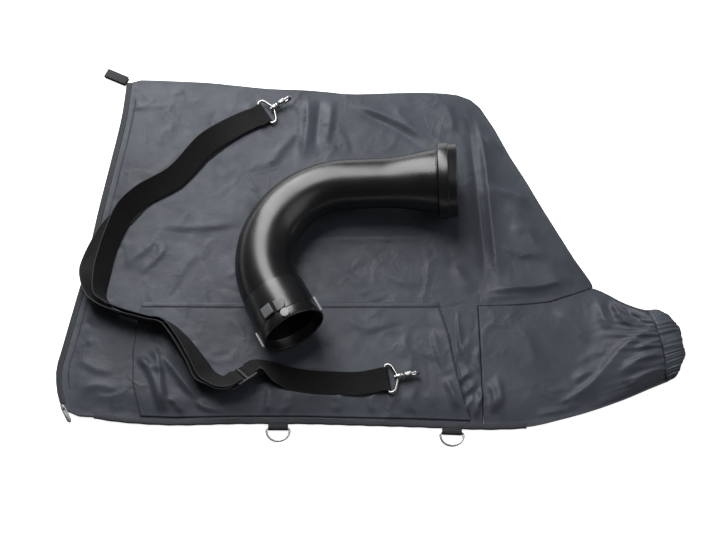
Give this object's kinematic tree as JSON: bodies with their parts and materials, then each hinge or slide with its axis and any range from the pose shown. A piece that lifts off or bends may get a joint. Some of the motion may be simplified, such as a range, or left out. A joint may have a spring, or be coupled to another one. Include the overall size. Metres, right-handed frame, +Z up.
{
  "type": "leaf vacuum collection bag",
  "caption": "Zipped cloth bag that collects leaves from a garden vacuum, with a gathered neck, a reinforcing panel, a shoulder strap with snap hooks and an elbow duct.",
  "frame": {"origin": "middle of the underside of the whole part, laid flat", "axes": "+X along the bag from its zipped end to its gathered neck, +Y across the bag towards its long top edge, +Z up from the surface that it lies on"},
  "size_m": [0.9714, 0.6574, 0.1304],
  "materials": {
    "bag_cloth": "grey woven nylon",
    "edge_tape": "black woven tape",
    "webbing": "black ribbed webbing",
    "zip_nylon": "black nylon coil",
    "elastic": "pale woven elastic",
    "nickel": "bright nickel plate",
    "glide_plastic": "satin black",
    "duct_plastic": "satin black",
    "lug_plastic": "pale grey"
  },
  "bodies": {
    "bag": {"back_panel": "bag_cloth", "front_panel": "bag_cloth", "pocket_panel": "bag_cloth", "neck_sleeve": "bag_cloth", "cuff_casing": "bag_cloth", "bottom_binding": "edge_tape", "zip_tape_front": "edge_tape", "zip_tape_back": "edge_tape", "hanging_loop": "webbing", "ring_tab_left": "webbing", "ring_tab_right": "webbing", "strap_webbing": "webbing", "zip_slider": "nickel", "elbow_tube": "duct_plastic", "elbow_flange": "duct_plastic", "flange_bead": "duct_plastic", "inlet_collar": "duct_plastic", "latch_pad": "duct_plastic", "stop_block": "lug_plastic", "collar_pin": "lug_plastic", "lug_rib_1": "lug_plastic", "lug_rib_2": "lug_plastic", "cuff_elastic": "elastic", "zip_coil": "zip_nylon", "tri_glide": "glide_plastic"},
    "d_ring_left_body": {"d_ring_left": "nickel"},
    "d_ring_right_body": {"d_ring_right": "nickel"},
    "zip_pull_body": {"zip_pull": "nickel"},
    "upper_eye_body": {"upper_eye": "nickel"},
    "upper_hook_body": {"upper_hook": "nickel"},
    "upper_bolt_body": {"upper_bolt": "nickel"},
    "lower_eye_body": {"lower_eye": "nickel"},
    "lower_hook_body": {"lower_hook": "nickel"},
    "lower_bolt_body": {"lower_bolt": "nickel"}
  },
  "joints": [
    {"name": "d_ring_left_pivot", "type": "hinge", "parent": "bag", "child": "d_ring_left_body", "pos_m": [-0.1429, -0.29978, 0.0032], "axis": [-1, 0.0031, 0], "range_deg": [0, 150]},
    {"name": "d_ring_right_pivot", "type": "hinge", "parent": "bag", "child": "d_ring_right_body", "pos_m": [0.1201, -0.30714, 0.0032], "axis": [-0.9993, 0.0386, 0], "range_deg": [0, 150]},
    {"name": "zip_pull_pivot", "type": "hinge", "parent": "bag", "child": "zip_pull_body", "pos_m": [-0.47017, -0.2676, 0.0067], "axis": [-0.8768, -0.4809, 0], "range_deg": [0, 160]},
    {"name": "upper_eye_pivot", "type": "hinge", "parent": "bag", "child": "upper_eye_body", "pos_m": [-0.1755, 0.23869, 0.0138], "axis": [0.5358, -0.8443, 0], "range_deg": [0, 110]},
    {"name": "upper_hook_swivel", "type": "hinge", "parent": "upper_eye_body", "child": "upper_hook_body", "pos_m": [-0.1755, 0.23869, 0.0138], "axis": [0.8339, 0.5292, 0.1564], "continuous": true},
    {"name": "upper_bolt_slide", "type": "slide", "parent": "upper_hook_body", "child": "upper_bolt_body", "axis": [-0.8339, -0.5292, -0.1564], "range_m": [0, 0.005], "stiffness_N_per_m": 300, "springref_m": -0.002},
    {"name": "lower_eye_pivot", "type": "hinge", "parent": "bag", "child": "lower_eye_body", "pos_m": [0.0216, -0.22501, 0.0157], "axis": [0.1564, -0.9877, 0], "range_deg": [0, 110]},
    {"name": "lower_hook_swivel", "type": "hinge", "parent": "lower_eye_body", "child": "lower_hook_body", "pos_m": [0.0216, -0.22501, 0.0157], "axis": [0.9755, 0.1545, 0.1564], "continuous": true},
    {"name": "lower_bolt_slide", "type": "slide", "parent": "lower_hook_body", "child": "lower_bolt_body", "axis": [-0.9755, -0.1545, -0.1564], "range_m": [0, 0.005], "stiffness_N_per_m": 300, "springref_m": -0.002}
  ]
}
